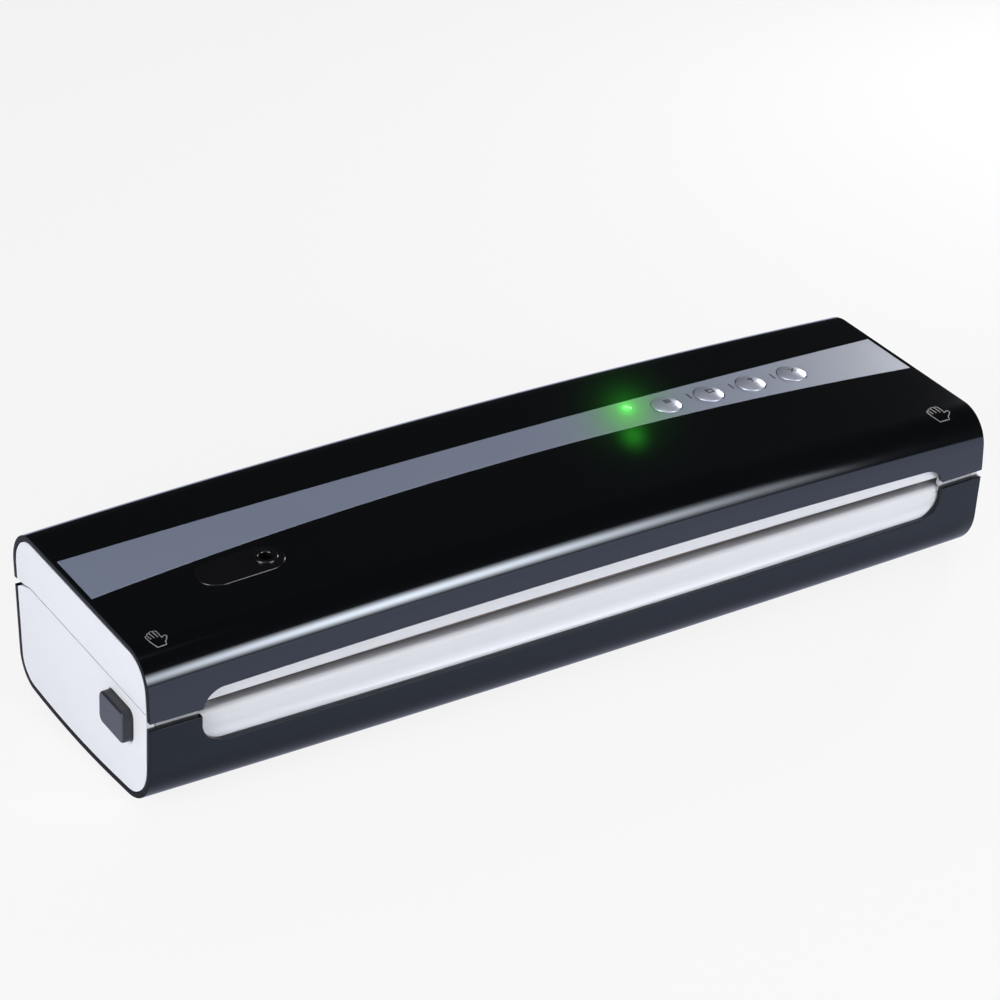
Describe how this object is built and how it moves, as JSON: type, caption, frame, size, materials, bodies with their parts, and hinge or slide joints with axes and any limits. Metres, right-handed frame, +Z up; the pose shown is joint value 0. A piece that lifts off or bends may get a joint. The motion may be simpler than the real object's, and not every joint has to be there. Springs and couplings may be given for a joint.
{
  "type": "vacuum sealer",
  "caption": "Countertop vacuum sealer: long black body with hinged lid, white-lined bag mouth, key band, accessory port and side release buttons.",
  "frame": {"origin": "on the table under the middle of the body's bounding box", "axes": "+X along the body to the user's right, bag mouth facing -Y, +Z up"},
  "size_m": [0.3726, 0.1072, 0.0745],
  "materials": {
    "shell_black": "high-gloss black moulding",
    "liner_white": "satin white moulding",
    "band_grey": "satin blue-grey foil",
    "key_silver": "pearly silver lacquer",
    "lamp_green": "clear light guide, lit green",
    "button_black": "semi-gloss black moulding",
    "gasket_foam": "closed-cell foam",
    "pressure_rubber": "silicone strip",
    "tape_brown": "non-stick glass cloth",
    "steel": "plain steel",
    "board_green": "coated laminate",
    "inner_black": "plain black moulding",
    "hose_clear": "soft silicone tube",
    "rubber_black": "moulded rubber",
    "core_iron": "varnished laminations",
    "relay_blue": "moulded case",
    "can_sleeve": "shrunk sleeve",
    "pin_brass": "plated brass"
  },
  "bodies": {
    "base": {"base_shell": "shell_black", "base_deck": "liner_white", "base_cap_left": "liner_white", "base_cap_right": "liner_white", "lower_gasket": "gasket_foam", "heater_bar": "steel", "heater_strip": "steel", "heater_tape": "tape_brown", "pump_motor": "steel", "pump_head": "inner_black", "pump_bracket": "steel", "pump_grommets": "rubber_black", "suction_hose": "hose_clear", "main_board": "board_green", "transformer": "core_iron", "relay": "relay_blue", "capacitor": "can_sleeve", "power_inlet": "inner_black", "inlet_pins": "pin_brass", "feet": "rubber_black", "base_screws": "steel", "release_spring_left": "steel", "release_spring_right": "steel"},
    "lid": {"lid_shell": "shell_black", "lid_liner": "liner_white", "lid_cap_left": "liner_white", "lid_cap_right": "liner_white", "panel_band": "band_grey", "upper_gasket": "gasket_foam", "pressure_strip": "pressure_rubber", "lamp_lens": "lamp_green", "key_board": "board_green", "tact_switches": "inner_black", "accessory_port": "button_black", "latch_hooks": "liner_white", "hinge_pins": "steel", "lid_screws": "steel"},
    "release_left": {"release_button_left": "button_black"},
    "release_right": {"release_button_right": "button_black"},
    "pump_rotor": {"motor_rotor": "steel"},
    "mode_key": {"mode_key": "key_silver"},
    "seal_key": {"seal_key": "key_silver"},
    "vacuum_key": {"vacuum_key": "key_silver"},
    "cancel_key": {"cancel_key": "key_silver"}
  },
  "joints": [
    {"name": "lid_hinge", "type": "hinge", "parent": "base", "child": "lid", "pos_m": [0, 0.05065, 0.0495], "axis": [-1, 0, 0], "range_deg": [0, 75]},
    {"name": "release_left_press", "type": "slide", "parent": "base", "child": "release_left", "axis": [1, 0, 0], "range_m": [0, 0.0025], "stiffness_N_per_m": 600, "deforming": ["release_spring_left"]},
    {"name": "release_right_press", "type": "slide", "parent": "base", "child": "release_right", "axis": [-1, 0, 0], "range_m": [0, 0.0025], "stiffness_N_per_m": 600, "deforming": ["release_spring_right"]},
    {"name": "pump_spin", "type": "hinge", "parent": "base", "child": "pump_rotor", "pos_m": [0.055, 0.022, 0.023], "axis": [1, 0, 0], "continuous": true},
    {"name": "mode_key_press", "type": "slide", "parent": "lid", "child": "mode_key", "axis": [-0.0182, 0.0958, -0.9952], "range_m": [0, 0.0006], "stiffness_N_per_m": 1500},
    {"name": "seal_key_press", "type": "slide", "parent": "lid", "child": "seal_key", "axis": [-0.0232, 0.0958, -0.9951], "range_m": [0, 0.0006], "stiffness_N_per_m": 1500},
    {"name": "vacuum_key_press", "type": "slide", "parent": "lid", "child": "vacuum_key", "axis": [-0.0283, 0.0958, -0.995], "range_m": [0, 0.0006], "stiffness_N_per_m": 1500},
    {"name": "cancel_key_press", "type": "slide", "parent": "lid", "child": "cancel_key", "axis": [-0.0334, 0.0958, -0.9948], "range_m": [0, 0.0006], "stiffness_N_per_m": 1500}
  ]
}
